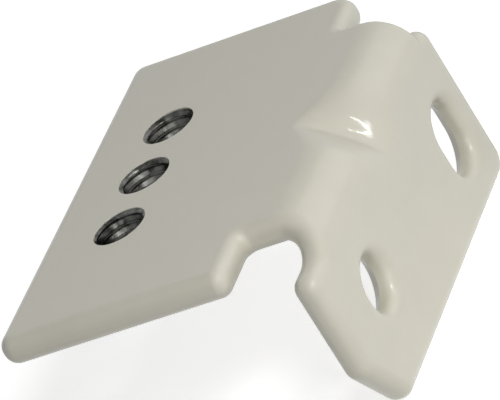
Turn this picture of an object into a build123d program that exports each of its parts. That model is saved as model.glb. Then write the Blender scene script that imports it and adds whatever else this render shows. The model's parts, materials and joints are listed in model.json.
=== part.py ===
"""Wall bracket for a curtain track: one folded steel sheet, powder coated.

The wall leaf hangs down against the wall and the shelf leaf stands out from it at the top.
Lengths are in millimetres, over the coat of paint.

Frame: +X runs along the bend, -Y points away from the wall and +Z is up.
The origin lies on the wall face, at the shelf's mid-width, level with the round fixing hole.
"""

import os
from math import cos, hypot, pi, radians, sin, tan

from build123d import *

# Sheet
sheet = 2.7  # 2.5 mm steel and 0.1 mm of coat on each face
bend_inner = 1.6  # inside radius of the bend
edge_flat = 0.2  # straight part of an edge, between its two rounded rims

# Shelf leaf
shelf_width = 42.2
shelf_reach = 30.0  # from the wall face to the front edge
shelf_corner = 1.5
shelf_tab_corner = 2.3  # corner between the far end and its notch

# Wall leaf
wall_drop = 18.5  # from the top face to the bottom edge
wall_inset = 4.4  # how much shorter the wall leaf is at its far end
wall_corner = 2.0
wall_cut_width = 3.8  # corner cut off at the near end
wall_cut_height = 5.5
wall_cut_corner = 1.5

# Notches beside the bend
notch_depth = 6.0
notch_drop = 3.15  # from the top face to a notch's lower side
near_notch_reach = 7.35  # from the wall face to the notch's front side
far_notch_reach = 6.5
notch_corner = 0.5  # between a notch's front side and its floor

# Tapped holes in the shelf leaf
thread_diameter = 5.0  # M5, drawn at the thread's outer diameter
thread_count = 3
thread_pitch = 7.5
thread_reach = 21.75  # from the wall face to the row

# Fixing holes in the wall leaf
fixing_depth = 10.0  # from the top face to the round hole
round_hole = 4.8
round_hole_offset = 12.2  # from mid-width towards the near end
slot_width = 5.2
slot_length = 6.8
slot_offset = 11.1  # from mid-width towards the far end
slot_lowering = 1.6  # slot's centre below the round hole
fixing_straight = 0.5  # straight wall left between a hole's two rims
fixing_chamfer = 1.0  # of the rims on the shelf's side; those on the wall's side are rounded

# Dart pressed into the bend from outside
dart_half_width = 6.0
dart_reach_shelf = 5.6  # where its flat would meet the top face, from the wall face
dart_reach_wall = 4.8  # where its flat would meet the wall face, from the top face
dart_turn = 0.4  # inside radius of the turns at both ends of its flat, where it is deepest
dart_sharpness = 1.2
dart_stations = 5  # sections on each side of the middle one
dart_margin = 0.6  # from the end of the dart's turns to the end of its sections

# Worked out from these
edge_round = (sheet - edge_flat) / 2
fixing_rim = sheet - fixing_chamfer - fixing_straight
bend_outer = bend_inner + sheet
bend_middle = bend_inner + sheet / 2
quarter_bend = bend_middle * pi / 2  # length of the sheet's middle round the bend
top = fixing_depth
bend_height = top - bend_outer
near_end = shelf_width / 2
far_end = -near_end
web_half = near_end - notch_depth
wall_far_end = far_end + wall_inset
wall_bottom = top - wall_drop

# The core: the sheet less the rounding of its edges, on every side
core_end = near_end - edge_round
core_web = web_half - edge_round
core_lower = top - notch_drop - edge_round  # lower side of the notches
sweep = quarter_bend + bend_height - core_lower  # radius of the near notch's floor, round the bend
sweep_turn = 84  # degrees of that curve, the rest being a corner too slight to see
sweep_stations = 6
lead_in = 0.5  # straight stretch of the floor before the curve
clear = 5.0  # how far a cut runs past the metal
least_corner = 0.05  # smallest corner of the core, where the outline's is no rounder than its edge
handle = 4 / 3 * tan(radians(45 / 4)) / tan(radians(45 / 2))  # a curve's handle, as a share of its tangent


def spot(reach, drop):
    """A point of the side view, by its distances from the wall face and the top face."""
    return (-reach, top - drop)


def part_way(start, end, share):
    """The point that lies this share of the way from start to end."""
    return tuple(p + share * (q - p) for p, q in zip(start, end))


def across_sheet(way):
    """The plane square to the sheet, this way round its middle from the shelf leaf's end."""
    turn = min(max(way / bend_middle, 0), pi / 2)
    before = min(way, 0)
    past = max(way - quarter_bend, 0)
    return Plane(
        origin=(0, before - bend_outer, bend_height - past),
        x_dir=(1, 0, 0),
        z_dir=(0, -cos(turn), sin(turn)),
    )


def core_radius(radius):
    """The radius of a core's corner that sticks out, for this radius of the outline's."""
    return max(radius - edge_round, least_corner)


def core_corners(axis, radius, *places):
    """Round the core's corners that run along an axis at these places."""
    found = []
    for edge in edges().filter_by(axis):
        middle = edge.center()
        seen = (middle.X, middle.Y if axis == Axis.Z else middle.Z)
        if any(hypot(seen[0] - x, seen[1] - other) < 0.01 for x, other in places):
            found.append(edge)
    fillet(found, radius=radius)


def dart_skin(share, depth):
    """The corner points of one skin of the sheet, drawn in to a flat between two turns.

    Share is how much of the dart's full depth it has, from 0, where the two turns make up the
    plain bend. Depth is how far this skin lies below the outer one.
    """
    plain = bend_outer * (2 - 2**0.5)
    reach_shelf = plain + (dart_reach_shelf - plain) * share
    reach_wall = plain + (dart_reach_wall - plain) * share
    radius = bend_outer - depth + (dart_turn - bend_inner) * share
    line = reach_shelf * reach_wall + depth * hypot(reach_shelf, reach_wall)
    shelf_turn = ((line - depth * reach_shelf) / reach_wall, depth)
    wall_turn = (depth, (line - depth * reach_wall) / reach_shelf)
    tangent = radius * tan(radians(45 / 2))
    start = (shelf_turn[0] + tangent, depth)
    end = (depth, wall_turn[1] + tangent)
    return radius, start, shelf_turn, part_way(shelf_turn, wall_turn, 0.5), wall_turn, end


def dart_section(x, share):
    """The sheet's section across the corner at x, with this share of the dart's full depth."""
    with BuildSketch(Plane.YZ.offset(x)) as section:
        with BuildLine():
            for depth in (0, sheet):
                radius, start, shelf_turn, middle, wall_turn, end = dart_skin(share, depth)
                Line(spot(dart_end_shelf, depth), spot(*start))
                if share > 0:
                    for first, turn in ((start, shelf_turn), (end, wall_turn)):
                        Bezier(
                            spot(*first),
                            spot(*part_way(first, turn, handle)),
                            spot(*part_way(middle, turn, handle)),
                            spot(*middle),
                        )
                else:
                    RadiusArc(spot(*start), spot(*middle), radius)
                    RadiusArc(spot(*middle), spot(*end), radius)
                Line(spot(*end), spot(depth, dart_end_wall))
            Line(spot(dart_end_shelf, 0), spot(dart_end_shelf, sheet))
            Line(spot(0, dart_end_wall), spot(sheet, dart_end_wall))
        make_face()
    return section.sketch


deepest = [dart_skin(1, depth) for depth in (0, sheet)]
dart_end_shelf = max(skin[1][0] for skin in deepest) + dart_margin
dart_end_wall = max(skin[-1][1] for skin in deepest) + dart_margin

with BuildPart() as bracket:
    # Core of the two leaves and of the bend between them
    with BuildSketch(Plane.YZ):
        with BuildLine():
            Polyline(
                spot(bend_outer, edge_round),
                spot(shelf_reach - edge_round, edge_round),
                spot(shelf_reach - edge_round, sheet - edge_round),
                spot(bend_outer, sheet - edge_round),
            )
            RadiusArc(
                spot(bend_outer, sheet - edge_round),
                spot(sheet - edge_round, bend_outer),
                bend_inner + edge_round,
            )
            Polyline(
                spot(sheet - edge_round, bend_outer),
                spot(sheet - edge_round, wall_drop - edge_round),
                spot(edge_round, wall_drop - edge_round),
                spot(edge_round, bend_outer),
            )
            RadiusArc(
                spot(edge_round, bend_outer),
                spot(bend_outer, edge_round),
                edge_round - bend_outer,
            )
        make_face()
    extrude(amount=core_end, both=True)

    # Near notch: straight in the shelf leaf, then sweeping outwards round the bend
    with BuildSketch(Plane.XY.offset(top)):
        with Locations((core_web, -bend_outer)):
            Rectangle(
                notch_depth + clear,
                near_notch_reach + edge_round - bend_outer,
                align=(Align.MIN, Align.MAX),
            )
    extrude(amount=-2 * sheet, mode=Mode.SUBTRACT)
    for station in range(-1, sweep_stations + 1):
        turn = radians(sweep_turn * max(station, 0) / sweep_stations)
        way = sweep * sin(turn) / sin(radians(sweep_turn)) if station >= 0 else -lead_in
        with BuildSketch(across_sheet(way)):
            with Locations((core_web + sweep * (1 - cos(turn)), bend_inner / 2)):
                Rectangle(notch_depth + clear, bend_outer + clear, align=(Align.MIN, Align.MIN))
    loft(mode=Mode.SUBTRACT)

    # Far notch
    with BuildSketch(Plane.XY.offset(core_lower)):
        with Locations((-core_web, -far_notch_reach - edge_round)):
            Rectangle(notch_depth + clear, 2 * (far_notch_reach + clear), align=(Align.MAX, Align.MIN))
    extrude(amount=top, mode=Mode.SUBTRACT)

    # The wall leaf's shorter far end, and the corner cut off at its near end
    with BuildSketch(Plane.XZ):
        with Locations((wall_far_end + edge_round, top - notch_drop)):
            Rectangle(wall_inset + clear, wall_drop + clear, align=(Align.MAX, Align.MAX))
    extrude(amount=2 * sheet, mode=Mode.SUBTRACT)
    with BuildSketch(Plane.XZ):
        with BuildLine():
            Polyline(
                (near_end, wall_bottom + wall_cut_height),
                (near_end - wall_cut_width, wall_bottom),
                (near_end, wall_bottom),
                close=True,
            )
        make_face()
        offset(amount=edge_round, kind=Kind.INTERSECTION)
    extrude(amount=2 * sheet, mode=Mode.SUBTRACT)

    # Corners of the core: less rounded than the outline where they stick out, more where they don't
    shelf_front = edge_round - shelf_reach
    near_front = -near_notch_reach - edge_round
    far_front = -far_notch_reach - edge_round
    core_corners(Axis.Z, core_radius(shelf_corner), (core_end, shelf_front), (-core_end, shelf_front))
    core_corners(Axis.Z, core_radius(shelf_tab_corner), (-core_end, far_front))
    core_corners(Axis.Z, notch_corner + edge_round, (core_web, near_front), (-core_web, far_front))
    low_corners = edges().filter_by(Axis.Y).filter_by_position(Axis.Z, wall_bottom, 0)
    fillet(low_corners.sort_by(Axis.X)[1:], radius=core_radius(wall_cut_corner))
    low_corners = edges().filter_by(Axis.Y).filter_by_position(Axis.Z, wall_bottom, 0)
    fillet(low_corners.sort_by(Axis.X)[0], radius=core_radius(wall_corner))

    # The sheet itself, which the core fills out with rounded edges all round
    offset(amount=edge_round)

    # Fixing holes
    with BuildSketch(Plane.XZ):
        with Locations((round_hole_offset, 0)):
            Circle(round_hole / 2)
        with Locations((-slot_offset, -slot_lowering)):
            SlotOverall(slot_length, slot_width, rotation=90)
    extrude(amount=sheet, mode=Mode.SUBTRACT)
    rims = edges(Select.LAST).filter_by(Axis.Y, reverse=True).group_by(Axis.Y)
    fillet(rims[-1], radius=fixing_rim)
    chamfer(rims[0], length=fixing_chamfer)

    # Tapped holes
    with BuildSketch(Plane.XY.offset(top)):
        with Locations((0, -thread_reach)):
            with GridLocations(thread_pitch, 0, thread_count, 1):
                Circle(thread_diameter / 2)
    extrude(amount=-sheet, mode=Mode.SUBTRACT)

    # Dart: the corner is cut out over its width, and built again from sections drawn inwards
    with BuildSketch(Plane.YZ):
        with Locations(spot(-clear, -clear)):
            Rectangle(dart_end_shelf + clear, dart_end_wall + clear, align=(Align.MAX, Align.MAX))
    extrude(amount=dart_half_width, both=True, mode=Mode.SUBTRACT)
    places = [station / dart_stations for station in range(-dart_stations, dart_stations + 1)]
    shares = [(1 - abs(place) ** dart_sharpness) ** 2 for place in places]
    loft([dart_section(place * dart_half_width, share) for place, share in zip(places, shares)])

bracket.part.label = "bracket"

os.makedirs("parts", exist_ok=True)
export_step(bracket.part, "parts/bracket.step")
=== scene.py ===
"""Looks of the wall bracket: powder-coated folded steel with three bare tapped holes.

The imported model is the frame, in metres. +X runs along the bend, -Y points away from the wall
and +Z is up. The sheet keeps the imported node's shape, and the threads are modelled here.
"""

import json
import logging
import math
from dataclasses import dataclass, field
from enum import Enum

import bmesh
import bpy
from mathutils import Matrix, Vector

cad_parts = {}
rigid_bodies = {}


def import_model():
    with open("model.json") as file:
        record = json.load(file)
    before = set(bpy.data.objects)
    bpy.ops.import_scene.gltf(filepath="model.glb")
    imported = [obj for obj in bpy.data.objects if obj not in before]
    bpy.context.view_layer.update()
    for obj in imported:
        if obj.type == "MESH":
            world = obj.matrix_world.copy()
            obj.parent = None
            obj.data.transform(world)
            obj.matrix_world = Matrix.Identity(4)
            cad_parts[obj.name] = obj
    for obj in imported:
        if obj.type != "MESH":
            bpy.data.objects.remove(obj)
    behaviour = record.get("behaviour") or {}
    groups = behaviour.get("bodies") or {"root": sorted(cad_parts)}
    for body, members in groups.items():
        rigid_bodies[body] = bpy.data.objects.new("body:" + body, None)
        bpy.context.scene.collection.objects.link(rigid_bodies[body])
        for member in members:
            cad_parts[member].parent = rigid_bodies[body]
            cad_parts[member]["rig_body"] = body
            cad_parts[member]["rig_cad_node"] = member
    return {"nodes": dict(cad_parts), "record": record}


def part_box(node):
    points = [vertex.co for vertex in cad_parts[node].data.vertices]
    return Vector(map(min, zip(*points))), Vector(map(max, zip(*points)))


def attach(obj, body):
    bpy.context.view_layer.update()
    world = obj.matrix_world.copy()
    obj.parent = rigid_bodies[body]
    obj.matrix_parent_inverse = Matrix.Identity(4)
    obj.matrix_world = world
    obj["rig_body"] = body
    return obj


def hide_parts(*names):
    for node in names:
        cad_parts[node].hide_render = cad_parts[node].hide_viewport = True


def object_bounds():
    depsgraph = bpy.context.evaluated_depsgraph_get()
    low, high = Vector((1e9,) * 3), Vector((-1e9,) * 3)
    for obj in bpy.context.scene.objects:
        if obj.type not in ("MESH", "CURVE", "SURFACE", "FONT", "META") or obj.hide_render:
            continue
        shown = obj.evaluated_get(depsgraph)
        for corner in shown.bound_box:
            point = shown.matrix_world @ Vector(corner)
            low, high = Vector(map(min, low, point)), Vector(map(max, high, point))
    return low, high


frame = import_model()
CAD_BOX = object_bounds()

LOG = logging.getLogger("wall_bracket")
MM = 0.001

Colour = tuple[float, float, float, float]
Point = tuple[float, float, float]
WHITE: Colour = (1, 1, 1, 1)


class Slot(Enum):
    """The record's material slots."""

    COAT = "powder_coat"
    STEEL = "bare_steel"


class SleeveEnd(Enum):
    """An end of a thread's sleeve."""

    LOWER = "lower"
    UPPER = "upper"


def deselect_all() -> None:
    """Leave nothing selected and no mode open."""
    if bpy.context.object is not None and bpy.context.object.mode != "OBJECT":
        bpy.ops.object.mode_set(mode="OBJECT")
    bpy.ops.object.select_all(action="DESELECT")


def make_active(piece: bpy.types.Object) -> None:
    """Select one piece alone and make it the active one.

    Args:
        piece: the object that the next operators act on.
    """
    deselect_all()
    piece.select_set(True)
    bpy.context.view_layer.objects.active = piece


def apply_modifier(piece: bpy.types.Object, modifier: bpy.types.Modifier) -> None:
    """Apply one of a piece's modifiers.

    Args:
        piece: the object that carries it.
        modifier: the modifier, which is gone afterwards.
    """
    make_active(piece)
    bpy.ops.object.modifier_apply(modifier=modifier.name)


def settle(piece: bpy.types.Object) -> None:
    """Put a piece's place into its mesh, so that its object sits at the origin.

    Args:
        piece: the finished object.
    """
    make_active(piece)
    bpy.ops.object.transform_apply(location=True, rotation=True, scale=True)


def dress(piece: bpy.types.Object, finish: bpy.types.Material) -> None:
    """Give a piece its finish and its body.

    Args:
        piece: the object.
        finish: the material it wears.
    """
    piece.data.materials.clear()
    piece.data.materials.append(finish)
    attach(piece, "root")


def link(tree: bpy.types.NodeTree, start: bpy.types.NodeSocket, end: bpy.types.NodeSocket) -> None:
    """Join two sockets of a node tree."""
    tree.links.new(start, end)


def seen_directly(tree: bpy.types.NodeTree) -> bpy.types.NodeSocket:
    """Tell what the camera sees, itself or in a mirror or through glass, from other light.

    Args:
        tree: the node tree that asks.

    Returns:
        A socket that is 1 for what is seen and 0 for light that falls on something.
    """
    path = tree.nodes.new("ShaderNodeLightPath")
    seen = path.outputs["Is Camera Ray"]
    for ray in ("Is Glossy Ray", "Is Transmission Ray"):
        either = tree.nodes.new("ShaderNodeMath")
        either.operation = "MAXIMUM"
        link(tree, seen, either.inputs[0])
        link(tree, path.outputs[ray], either.inputs[1])
        seen = either.outputs["Value"]
    return seen


@dataclass
class ShaderKit:
    """The effects that several finishes share, each one a node group built once."""

    groups: dict[str, bpy.types.NodeTree] = field(default_factory=dict)
    mottle_detail: float = 4.0
    mottle_roughness: float = 0.55
    mottle_low: float = 0.36
    mottle_high: float = 0.64
    wave_detail: float = 2.0
    grain_detail: float = 3.0

    def start(
        self, name: str, inputs: dict[str, str], outputs: dict[str, str]
    ) -> bpy.types.NodeTree:
        """Start a node group with its sockets, and keep it.

        Args:
            name: the group's name.
            inputs: what each input holds, by its name: Vector, Float or Color.
            outputs: the same for each output.

        Returns:
            The node group, with no nodes yet.
        """
        tree = bpy.data.node_groups.new(name, "ShaderNodeTree")
        for way, sockets in (("INPUT", inputs), ("OUTPUT", outputs)):
            for socket, kind in sockets.items():
                tree.interface.new_socket(socket, in_out=way, socket_type="NodeSocket" + kind)
        self.groups[name] = tree
        return tree

    def mottle(self) -> bpy.types.NodeTree:
        """The group that varies a colour and a value slowly over a surface.

        Returns:
            The node group.
        """
        if "mottle" in self.groups:
            return self.groups["mottle"]
        tree = self.start(
            "mottle",
            {
                "Vector": "Vector",
                "Scale": "Float",
                "Light": "Color",
                "Dark": "Color",
                "Low": "Float",
                "High": "Float",
            },
            {"Colour": "Color", "Value": "Float"},
        )
        nodes = tree.nodes
        source, sink = nodes.new("NodeGroupInput"), nodes.new("NodeGroupOutput")
        noise = nodes.new("ShaderNodeTexNoise")
        noise.inputs["Detail"].default_value = self.mottle_detail
        noise.inputs["Roughness"].default_value = self.mottle_roughness
        spread = nodes.new("ShaderNodeMapRange")
        spread.inputs["From Min"].default_value = self.mottle_low
        spread.inputs["From Max"].default_value = self.mottle_high
        blend = nodes.new("ShaderNodeMix")
        blend.data_type = "RGBA"
        level = nodes.new("ShaderNodeMapRange")
        link(tree, source.outputs["Vector"], noise.inputs["Vector"])
        link(tree, source.outputs["Scale"], noise.inputs["Scale"])
        link(tree, noise.outputs["Fac"], spread.inputs["Value"])
        link(tree, spread.outputs["Result"], blend.inputs["Factor"])
        link(tree, source.outputs["Dark"], blend.inputs["A"])
        link(tree, source.outputs["Light"], blend.inputs["B"])
        link(tree, spread.outputs["Result"], level.inputs["Value"])
        link(tree, source.outputs["Low"], level.inputs["To Min"])
        link(tree, source.outputs["High"], level.inputs["To Max"])
        link(tree, blend.outputs["Result"], sink.inputs["Colour"])
        link(tree, level.outputs["Result"], sink.inputs["Value"])
        return tree

    def relief(self) -> bpy.types.NodeTree:
        """The group that gives a surface a soft wave and a fine grain.

        Returns:
            The node group.
        """
        if "relief" in self.groups:
            return self.groups["relief"]
        tree = self.start(
            "relief",
            {
                "Vector": "Vector",
                "Wave Scale": "Float",
                "Wave": "Float",
                "Grain Scale": "Float",
                "Grain": "Float",
            },
            {"Height": "Float"},
        )
        nodes = tree.nodes
        source, sink = nodes.new("NodeGroupInput"), nodes.new("NodeGroupOutput")
        total = nodes.new("ShaderNodeMath")
        total.operation = "ADD"
        parts = (("Wave", self.wave_detail), ("Grain", self.grain_detail))
        for socket, (kind, detail) in enumerate(parts):
            noise = nodes.new("ShaderNodeTexNoise")
            noise.inputs["Detail"].default_value = detail
            part = nodes.new("ShaderNodeMath")
            part.operation = "MULTIPLY"
            link(tree, source.outputs["Vector"], noise.inputs["Vector"])
            link(tree, source.outputs[kind + " Scale"], noise.inputs["Scale"])
            link(tree, noise.outputs["Fac"], part.inputs[0])
            link(tree, source.outputs[kind], part.inputs[1])
            link(tree, part.outputs["Value"], total.inputs[socket])
        link(tree, total.outputs["Value"], sink.inputs["Height"])
        return tree


def place_group(
    material: bpy.types.Material, group: bpy.types.NodeTree, **values: float | Colour
) -> bpy.types.ShaderNodeGroup:
    """Place a shared effect in a material, with its own values.

    Args:
        material: the material.
        group: the effect's node group.
        **values: a value for each named input, with _ for a space in its name.

    Returns:
        The group's node.
    """
    node = material.node_tree.nodes.new("ShaderNodeGroup")
    node.node_tree = group
    for name, value in values.items():
        node.inputs[name.replace("_", " ")].default_value = value
    return node


@dataclass(frozen=True)
class Finish:
    """A finish whose colour, gloss and height vary over the surface.

    A scale is how many waves of a pattern go in a metre, and a height is in metres.
    """

    name: str
    light: Colour
    dark: Colour
    patch_scale: float
    roughness_low: float
    roughness_high: float
    wave_scale: float
    wave: float
    grain_scale: float
    grain: float
    bump: float
    bump_height: float

    def set_gloss(self, shader: bpy.types.ShaderNode) -> None:
        """Set what is the same all over the surface."""
        raise NotImplementedError

    def material(self, kit: ShaderKit) -> bpy.types.Material:
        """Build the material.

        Args:
            kit: the shared effects.

        Returns:
            The material, which reads Object coordinates.
        """
        material = bpy.data.materials.new(self.name)
        material.use_nodes = True
        tree = material.node_tree
        shader = tree.nodes["Principled BSDF"]
        self.set_gloss(shader)
        place = tree.nodes.new("ShaderNodeTexCoord")
        tone = place_group(
            material,
            kit.mottle(),
            Scale=self.patch_scale,
            Light=self.light,
            Dark=self.dark,
            Low=self.roughness_low,
            High=self.roughness_high,
        )
        shape = place_group(
            material,
            kit.relief(),
            Wave_Scale=self.wave_scale,
            Wave=self.wave,
            Grain_Scale=self.grain_scale,
            Grain=self.grain,
        )
        bump = tree.nodes.new("ShaderNodeBump")
        bump.inputs["Strength"].default_value = self.bump
        bump.inputs["Distance"].default_value = self.bump_height
        link(tree, place.outputs["Object"], tone.inputs["Vector"])
        link(tree, place.outputs["Object"], shape.inputs["Vector"])
        link(tree, tone.outputs["Colour"], shader.inputs["Base Color"])
        link(tree, tone.outputs["Value"], shader.inputs["Roughness"])
        link(tree, shape.outputs["Height"], bump.inputs["Height"])
        link(tree, bump.outputs["Normal"], shader.inputs["Normal"])
        return material


@dataclass(frozen=True)
class PowderCoat(Finish):
    """Warm off-white powder coat: satin under a thin gloss, with the coat's slight waviness."""

    name: str = "powder_coat_finish"
    light: Colour = (0.66, 0.638, 0.54, 1)
    dark: Colour = (0.637, 0.615, 0.518, 1)
    patch_scale: float = 160.0
    roughness_low: float = 0.40
    roughness_high: float = 0.47
    wave_scale: float = 420.0
    wave: float = 0.8
    grain_scale: float = 2600.0
    grain: float = 0.2
    bump: float = 0.06
    bump_height: float = 0.02 * MM
    specular: float = 0.3
    coat_weight: float = 0.5
    coat_roughness: float = 0.07

    def set_gloss(self, shader: bpy.types.ShaderNode) -> None:
        """Set the paint's own shine and the gloss over it.

        Args:
            shader: the material's Principled BSDF.
        """
        shader.inputs["Specular IOR Level"].default_value = self.specular
        shader.inputs["Coat Weight"].default_value = self.coat_weight
        shader.inputs["Coat Roughness"].default_value = self.coat_roughness


@dataclass(frozen=True)
class BareSteel(Finish):
    """Cut thread in bare steel: dark, lighter in patches, with fine tool marks."""

    name: str = "bare_steel_finish"
    light: Colour = (0.12, 0.12, 0.113, 1)
    dark: Colour = (0.022, 0.023, 0.02, 1)
    patch_scale: float = 900.0
    roughness_low: float = 0.2
    roughness_high: float = 0.34
    wave_scale: float = 1500.0
    wave: float = 0.5
    grain_scale: float = 6000.0
    grain: float = 0.5
    bump: float = 0.35
    bump_height: float = 0.02 * MM
    metallic: float = 1.0

    def set_gloss(self, shader: bpy.types.ShaderNode) -> None:
        """Make it metal."""
        shader.inputs["Metallic"].default_value = self.metallic


@dataclass(frozen=True)
class PaleFloor:
    """Plain pale floor, which keeps the bracket's soft shadow.

    The two reaches are distances from the origin, in metres.
    """

    colour: Colour = (0.85, 0.85, 0.85, 1)
    roughness: float = 0.9
    glow: float = 0.72
    far_glow: float = 1.0
    shadow_reach: float = 0.08
    white_reach: float = 0.35

    def material(self) -> bpy.types.Material:
        """Build the floor's material.

        Returns:
            The material: matt, with a glow that only the camera and mirrors see, weaker round
            the bracket so that its shadow shows.
        """
        material = bpy.data.materials.new("pale_floor")
        material.use_nodes = True
        tree = material.node_tree
        shader = tree.nodes["Principled BSDF"]
        shader.inputs["Base Color"].default_value = self.colour
        shader.inputs["Roughness"].default_value = self.roughness
        shader.inputs["Specular IOR Level"].default_value = 0.0
        shader.inputs["Emission Color"].default_value = WHITE
        place = tree.nodes.new("ShaderNodeTexCoord")
        away = tree.nodes.new("ShaderNodeVectorMath")
        away.operation = "LENGTH"
        level = tree.nodes.new("ShaderNodeMapRange")
        level.inputs["From Min"].default_value = self.shadow_reach
        level.inputs["From Max"].default_value = self.white_reach
        level.inputs["To Min"].default_value = self.glow
        level.inputs["To Max"].default_value = self.far_glow
        strength = tree.nodes.new("ShaderNodeMath")
        strength.operation = "MULTIPLY"
        link(tree, place.outputs["Object"], away.inputs[0])
        link(tree, away.outputs["Value"], level.inputs["Value"])
        link(tree, seen_directly(tree), strength.inputs[0])
        link(tree, level.outputs["Result"], strength.inputs[1])
        link(tree, strength.outputs["Value"], shader.inputs["Emission Strength"])
        return material


@dataclass
class FoldedSheet:
    """The folded sheet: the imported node's own shape, merged and shaded smooth."""

    node: str = "bracket"
    weld: float = 0.002 * MM
    smooth_angle: float = math.radians(35)
    area_weight: int = 100

    def build(self) -> bpy.types.Object:
        """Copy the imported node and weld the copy's loose triangles.

        Returns:
            The sheet, which replaces the node.
        """
        source = frame["nodes"][self.node]
        sheet = source.copy()
        sheet.data = source.data.copy()
        sheet.name = "folded_sheet"
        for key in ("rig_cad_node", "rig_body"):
            if key in sheet:
                del sheet[key]
        sheet.parent = None
        bpy.context.scene.collection.objects.link(sheet)
        make_active(sheet)
        bpy.ops.object.mode_set(mode="EDIT")
        bpy.ops.mesh.customdata_custom_splitnormals_clear()
        bpy.ops.mesh.select_all(action="SELECT")
        bpy.ops.mesh.remove_doubles(threshold=self.weld)
        bpy.ops.object.mode_set(mode="OBJECT")
        bpy.ops.object.shade_smooth_by_angle(angle=self.smooth_angle)
        weighted = sheet.modifiers.new("even shading", "WEIGHTED_NORMAL")
        weighted.mode = "FACE_AREA"
        weighted.weight = self.area_weight
        weighted.keep_sharp = True
        apply_modifier(sheet, weighted)
        settle(sheet)
        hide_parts(self.node)
        return sheet


@dataclass
class TappedThread:
    """The cut thread of a tapped hole: a thin closed sleeve with the thread's form inside.

    spare_turns are cut off again, half of them at each end. Points nearer than nothing are one
    point, and cut_tolerance is how near a point counts as lying on a cut.
    """

    pitch: float = 0.8 * MM
    root_radius: float = 2.47 * MM
    crest_radius: float = 2.16 * MM
    crest_width: float = 0.18 * MM
    root_width: float = 0.12 * MM
    wall: float = 0.06 * MM
    length: float = 2.6 * MM
    countersink: float = 0.22 * MM
    steps: int = 72
    spare_turns: int = 2
    nothing: float = 0.001 * MM
    cut_tolerance: float = 0.0001 * MM
    smooth_angle: float = math.radians(80)

    def draw_section(self) -> bpy.types.Object:
        """Draw one pitch of the thread's section, out of a small circle merged to a point.

        Returns:
            The object, with the section as an open line at angle 0.
        """
        flank = (self.pitch - self.crest_width - self.root_width) / 2
        depth = self.root_radius - self.crest_radius
        deselect_all()
        bpy.ops.mesh.primitive_circle_add(vertices=3, radius=self.wall)
        thread = bpy.context.object
        bpy.ops.object.mode_set(mode="EDIT")
        bpy.ops.mesh.merge(type="CENTER")
        bpy.ops.transform.translate(value=(self.root_radius, 0, 0))
        for outwards, upwards in (
            (0, self.root_width),
            (-depth, flank),
            (0, self.crest_width),
            (depth, flank),
        ):
            bpy.ops.mesh.extrude_region_move(
                TRANSFORM_OT_translate={"value": (outwards, 0, upwards)}
            )
        bpy.ops.object.mode_set(mode="OBJECT")
        return thread

    def turn_up(self, thread: bpy.types.Object) -> None:
        """Turn the section round and up the bore, past both ends.

        Args:
            thread: the object with the section.
        """
        screw = thread.modifiers.new("cut thread", "SCREW")
        screw.axis = "Z"
        screw.angle = 2 * math.pi
        screw.screw_offset = self.pitch
        screw.iterations = math.ceil(self.length / self.pitch) + self.spare_turns
        screw.steps = screw.render_steps = self.steps
        screw.use_merge_vertices = True
        screw.merge_threshold = self.nothing
        apply_modifier(thread, screw)
        thread.location.z = -self.pitch * self.spare_turns / 2
        settle(thread)

    def level(self, end: SleeveEnd) -> float:
        """How high the thread ends over the sleeve's lower end."""
        return self.length - self.countersink if end is SleeveEnd.UPPER else self.countersink

    def trim(self, end: SleeveEnd) -> None:
        """Cut the thread in edit mode level, at the bottom of a countersink.

        Args:
            end: the end to cut.
        """
        bpy.ops.mesh.select_all(action="SELECT")
        bpy.ops.mesh.bisect(
            plane_co=(0, 0, self.level(end)),
            plane_no=(0, 0, 1),
            clear_inner=end is SleeveEnd.LOWER,
            clear_outer=end is SleeveEnd.UPPER,
            threshold=self.cut_tolerance,
        )

    def wrap(self) -> None:
        """Put an open cylinder round the thread in edit mode, longer by the countersinks."""
        bpy.ops.mesh.select_all(action="DESELECT")
        bpy.ops.mesh.primitive_cylinder_add(
            vertices=self.steps,
            radius=self.root_radius + self.wall,
            depth=self.length,
            end_fill_type="NOTHING",
            location=(0, 0, self.length / 2),
        )

    def close(self, thread: bpy.types.Object, end: SleeveEnd) -> None:
        """Bridge the thread's edge and the cylinder's edge into a countersink.

        Args:
            thread: the sleeve, in edit mode, with edges being selected.
            end: the end to close.
        """
        bpy.ops.mesh.select_all(action="DESELECT")
        shape = bmesh.from_edit_mesh(thread.data)
        level = self.level(end)
        reach = self.countersink + self.nothing
        for edge in shape.edges:
            near = all(abs(corner.co.z - level) < reach for corner in edge.verts)
            edge.select_set(near and edge.is_boundary)
        bmesh.update_edit_mesh(thread.data)
        bpy.ops.mesh.bridge_edge_loops()

    def build(self) -> bpy.types.Object:
        """Make one sleeve, with its lower end round the origin.

        Returns:
            The closed sleeve, which the tapped holes' threads are copied from.
        """
        thread = self.draw_section()
        self.turn_up(thread)
        bpy.ops.object.mode_set(mode="EDIT")
        bpy.ops.mesh.select_all(action="SELECT")
        bpy.ops.mesh.remove_doubles(threshold=self.nothing)
        for end in SleeveEnd:
            self.trim(end)
        self.wrap()
        bpy.ops.mesh.select_mode(type="EDGE")
        for end in SleeveEnd:
            self.close(thread, end)
        bpy.ops.mesh.select_all(action="SELECT")
        bpy.ops.mesh.normals_make_consistent(inside=False)
        bpy.ops.object.mode_set(mode="OBJECT")
        bpy.ops.object.shade_smooth_by_angle(angle=self.smooth_angle)
        return thread


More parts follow.
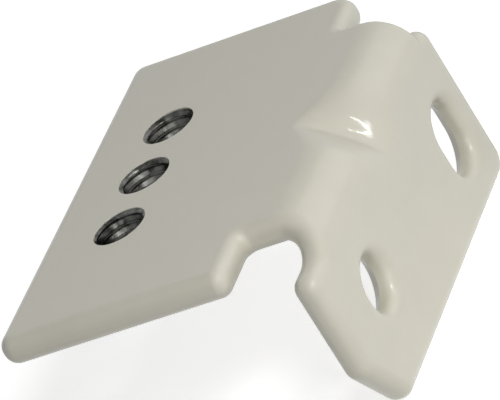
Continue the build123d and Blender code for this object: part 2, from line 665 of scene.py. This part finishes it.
@dataclass
class HoleRow:
    """The row of tapped holes, each with its own copy of the thread.

    The turns are angles in radians, and top_gap is how deep a thread lies under the shelf's face.
    """

    first_turn: float = 0.4
    next_turn: float = 1.3
    top_gap: float = 0.05 * MM

    def build(self, thread: TappedThread) -> list[bpy.types.Object]:
        """Copy one sleeve into each tapped hole, each turned a little further.

        Args:
            thread: the thread to make.

        Returns:
            The sleeves in the row.
        """
        pattern = thread.build()
        holes = [m for m in frame["record"]["mounts"] if m["kind"] == "threaded_hole"]
        _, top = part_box("bracket")
        row = []
        for number, hole in enumerate(holes):
            x, y, _ = hole["pos_m"]
            sleeve = pattern.copy()
            sleeve.data = pattern.data.copy()
            sleeve.name = f"thread_{number + 1}"
            bpy.context.scene.collection.objects.link(sleeve)
            sleeve.rotation_euler.z = self.first_turn + self.next_turn * number
            sleeve.location = (x, y, top[2] - self.top_gap - thread.length)
            settle(sleeve)
            row.append(sleeve)
        bpy.data.objects.remove(pattern)
        return row


@dataclass
class Softbox:
    """One soft studio lamp, oval, with its direction from the bracket and its sizes in metres."""

    name: str
    direction: Point
    distance: float
    width: float
    height: float
    watts: float

    def build(self, target: Vector) -> None:
        """Hang the lamp in its direction, facing the target.

        Args:
            target: the point it lights.
        """
        lamp = bpy.data.lights.new(self.name, "AREA")
        lamp.shape = "ELLIPSE"
        lamp.size, lamp.size_y = self.width, self.height
        lamp.energy = self.watts
        hung = bpy.data.objects.new(self.name, lamp)
        bpy.context.scene.collection.objects.link(hung)
        way = Vector(self.direction).normalized()
        hung.location = target + way * self.distance
        hung.rotation_euler = way.to_track_quat("Z", "Y").to_euler()


@dataclass
class Studio:
    """Floor, world, lamps and the camera at the photograph's angle.

    The camera's place and the floor are in metres, and its sensor is in millimetres.
    """

    camera_place: Point = (0.36939, 0.21547, 0.19679)
    camera_right: Point = (-0.26160678, 0.83138325, -0.49026909)
    camera_up: Point = (-0.5727862, 0.27510939, 0.77215982)
    camera_forward: Point = (-0.77683837, -0.48282162, -0.40423437)
    focal_pixels: float = 5618.04
    frame_pixels: float = 500.0
    sensor: float = 36.0
    nearest: float = 0.01
    farthest: float = 50.0
    ambient: float = 0.06
    background: float = 1.0
    floor_size: float = 6.0
    softboxes: tuple[Softbox, ...] = (
        Softbox("key_softbox", (0.42, 0.6, 0.69), 0.4, 0.09, 0.09, 0.38),
        Softbox("near_softbox", (0.55, 0.62, 0.56), 0.14, 0.06, 0.06, 0.03),
        Softbox("end_softbox", (0.87, 0.3, 0.38), 0.4, 0.12, 0.12, 0.14),
        Softbox("back_softbox", (-0.72, 0.48, 0.5), 0.4, 0.36, 0.36, 0.27),
        Softbox("strip_lamp", (-0.03, 0.69, 0.72), 0.7, 0.03, 0.2, 0.46),
        Softbox("tip_lamp", (-0.1, 0.75, 0.65), 0.5, 0.05, 0.05, 0.07),
        Softbox("low_lamp", (0.1, 0.82, 0.56), 0.4, 0.03, 0.03, 0.08),
        Softbox("edge_lamp", (0.56, 0.82, 0.14), 0.4, 0.035, 0.035, 0.06),
    )

    def camera(self) -> None:
        """Set up the camera and make it the scene's."""
        lens = bpy.data.cameras.new("photo_camera")
        lens.sensor_fit = "HORIZONTAL"
        lens.sensor_width = self.sensor
        lens.lens = self.focal_pixels / self.frame_pixels * self.sensor
        lens.clip_start, lens.clip_end = self.nearest, self.farthest
        camera = bpy.data.objects.new("photo_camera", lens)
        bpy.context.scene.collection.objects.link(camera)
        right, up, forward = (
            Vector(v) for v in (self.camera_right, self.camera_up, self.camera_forward)
        )
        axes = Matrix((right, up, -forward)).transposed().to_4x4()
        camera.matrix_world = Matrix.Translation(self.camera_place) @ axes
        bpy.context.scene.camera = camera

    def world(self) -> None:
        """Light the room evenly, and show white behind everything."""
        world = bpy.data.worlds.new("studio_room")
        bpy.context.scene.world = world
        world.use_nodes = True
        tree = world.node_tree
        tree.nodes.clear()
        out = tree.nodes.new("ShaderNodeOutputWorld")
        mix = tree.nodes.new("ShaderNodeMixShader")
        for socket, strength in ((1, self.ambient), (2, self.background)):
            room = tree.nodes.new("ShaderNodeBackground")
            room.inputs["Color"].default_value = WHITE
            room.inputs["Strength"].default_value = strength
            link(tree, room.outputs["Background"], mix.inputs[socket])
        link(tree, seen_directly(tree), mix.inputs["Fac"])
        link(tree, mix.outputs["Shader"], out.inputs["Surface"])

    def floor(self, height: float) -> None:
        """Lay the floor.

        Args:
            height: how high it lies, in metres.
        """
        deselect_all()
        bpy.ops.mesh.primitive_plane_add(size=self.floor_size, location=(0, 0, height))
        floor = bpy.context.object
        floor.name = "studio_floor"
        settle(floor)
        floor.data.materials.append(PaleFloor().material())

    def build(self, low: Vector, high: Vector) -> None:
        """Set up the whole studio round the bracket.

        Args:
            low: the lowest corner of the bracket's box.
            high: the highest corner of the bracket's box.
        """
        bpy.context.scene.view_settings.view_transform = "Standard"
        self.camera()
        self.world()
        self.floor(low.z)
        for softbox in self.softboxes:
            softbox.build((low + high) / 2)


def main() -> None:
    """Build every piece in order and report it."""
    logging.basicConfig(level=logging.INFO, format="%(name)s: %(message)s")
    kit = ShaderKit()
    coat = PowderCoat().material(kit)
    steel = BareSteel().material(kit)

    sheet = FoldedSheet().build()
    dress(sheet, coat)
    LOG.info("%s: %d faces", sheet.name, len(sheet.data.polygons))

    for sleeve in HoleRow().build(TappedThread()):
        dress(sleeve, steel)
        LOG.info("%s: %d faces", sleeve.name, len(sleeve.data.polygons))

    low, high = (Vector(corner) for corner in CAD_BOX)
    Studio().build(low, high)
    LOG.info("studio is set")


if __name__ == "__main__":
    main()
